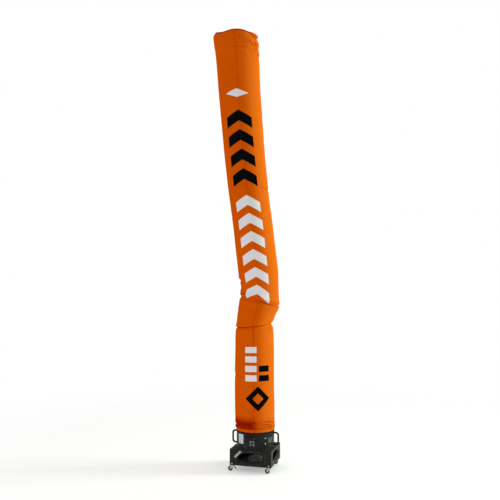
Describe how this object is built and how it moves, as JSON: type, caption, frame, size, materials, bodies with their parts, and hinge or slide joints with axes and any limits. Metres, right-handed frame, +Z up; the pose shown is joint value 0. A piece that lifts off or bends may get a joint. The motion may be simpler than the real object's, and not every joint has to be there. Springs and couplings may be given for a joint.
{
  "type": "inflatable air dancer on its blower",
  "caption": "Tall closed fabric tube, bent at its folds, strapped to a round duct on a square sheet-metal blower with castors.",
  "frame": {"origin": "on the floor, under the middle of the whole object's bounding box", "axes": "+Z up along the tube, +Y from the switch side to the back, +X to the right when facing the switch"},
  "size_m": [0.6947, 0.8572, 5.1824],
  "materials": {
    "nylon": "coated orange nylon, semi-matt",
    "webbing": "black woven webbing",
    "housing": "black powder coat",
    "motor": "grey painted casting",
    "fan": "dark grey cast blades",
    "zinc": "bright zinc plate",
    "rubber": "dark rubber",
    "plastic": "black moulded plastic",
    "plate": "light grey blank plate"
  },
  "bodies": {
    "blower": {"back_inlet": "housing", "back_panel": "housing", "base_plate": "housing", "cable_gland": "plastic", "castor_back_left_plate": "zinc", "castor_back_right_plate": "zinc", "castor_front_left_plate": "zinc", "castor_front_right_plate": "zinc", "corner_bolt_back_left": "zinc", "corner_bolt_back_right": "zinc", "corner_bolt_front_left": "zinc", "corner_bolt_front_right": "zinc", "duct": "housing", "duct_bolt_lower": "zinc", "duct_bolt_upper": "zinc", "front_blank_plate": "plate", "front_inlet": "housing", "front_panel": "housing", "left_blank_plate": "plate", "left_handle": "housing", "left_inlet": "housing", "left_panel": "housing", "motor": "motor", "right_blank_plate": "plate", "right_handle": "housing", "right_inlet": "housing", "right_panel": "housing", "sleeve": "nylon", "strap": "webbing", "switch_box": "plastic", "switch_plate": "plate", "top_panel": "nylon", "top_plate": "housing"},
    "fan": {"fan": "fan"},
    "switch_knob": {"switch_knob": "plastic"},
    "castor_front_left_fork": {"castor_front_left_fork": "zinc"},
    "castor_front_left_wheel": {"castor_front_left_wheel": "rubber"},
    "castor_front_left_pedal": {"castor_front_left_pedal": "zinc"},
    "castor_front_right_fork": {"castor_front_right_fork": "zinc"},
    "castor_front_right_wheel": {"castor_front_right_wheel": "rubber"},
    "castor_back_left_fork": {"castor_back_left_fork": "zinc"},
    "castor_back_left_wheel": {"castor_back_left_wheel": "rubber"},
    "castor_back_left_pedal": {"castor_back_left_pedal": "zinc"},
    "castor_back_right_fork": {"castor_back_right_fork": "zinc"},
    "castor_back_right_wheel": {"castor_back_right_wheel": "rubber"}
  },
  "joints": [
    {"name": "fan_spin", "type": "hinge", "parent": "blower", "child": "fan", "pos_m": [0.0497, 0.1711, 0.372], "axis": [0, 0, 1], "continuous": true},
    {"name": "switch_turn", "type": "hinge", "parent": "blower", "child": "switch_knob", "pos_m": [0.0827, -0.1045, 0.349], "axis": [0, 1, 0], "range_deg": [0, 90]},
    {"name": "castor_front_left_swivel", "type": "hinge", "parent": "blower", "child": "castor_front_left_fork", "pos_m": [-0.1743, -0.0359, 0.065], "axis": [0, 0, 1], "continuous": true},
    {"name": "castor_front_left_roll", "type": "hinge", "parent": "castor_front_left_fork", "child": "castor_front_left_wheel", "pos_m": [-0.1993, -0.0359, 0.0286], "axis": [0, 1, 0], "continuous": true},
    {"name": "castor_front_left_brake", "type": "hinge", "parent": "castor_front_left_fork", "child": "castor_front_left_pedal", "pos_m": [-0.1563, -0.0359, 0.054], "axis": [0, 1, 0], "range_deg": [0, 12]},
    {"name": "castor_front_right_swivel", "type": "hinge", "parent": "blower", "child": "castor_front_right_fork", "pos_m": [0.2737, -0.0359, 0.065], "axis": [0, 0, 1], "continuous": true},
    {"name": "castor_front_right_roll", "type": "hinge", "parent": "castor_front_right_fork", "child": "castor_front_right_wheel", "pos_m": [0.2487, -0.0359, 0.0286], "axis": [0, 1, 0], "continuous": true},
    {"name": "castor_back_left_swivel", "type": "hinge", "parent": "blower", "child": "castor_back_left_fork", "pos_m": [-0.1743, 0.3781, 0.065], "axis": [0, 0, 1], "continuous": true},
    {"name": "castor_back_left_roll", "type": "hinge", "parent": "castor_back_left_fork", "child": "castor_back_left_wheel", "pos_m": [-0.1993, 0.3781, 0.0286], "axis": [0, 1, 0], "continuous": true},
    {"name": "castor_back_left_brake", "type": "hinge", "parent": "castor_back_left_fork", "child": "castor_back_left_pedal", "pos_m": [-0.1563, 0.3781, 0.054], "axis": [0, 1, 0], "range_deg": [0, 12]},
    {"name": "castor_back_right_swivel", "type": "hinge", "parent": "blower", "child": "castor_back_right_fork", "pos_m": [0.2737, 0.3781, 0.065], "axis": [0, 0, 1], "continuous": true},
    {"name": "castor_back_right_roll", "type": "hinge", "parent": "castor_back_right_fork", "child": "castor_back_right_wheel", "pos_m": [0.2487, 0.3781, 0.0286], "axis": [0, 1, 0], "continuous": true}
  ]
}
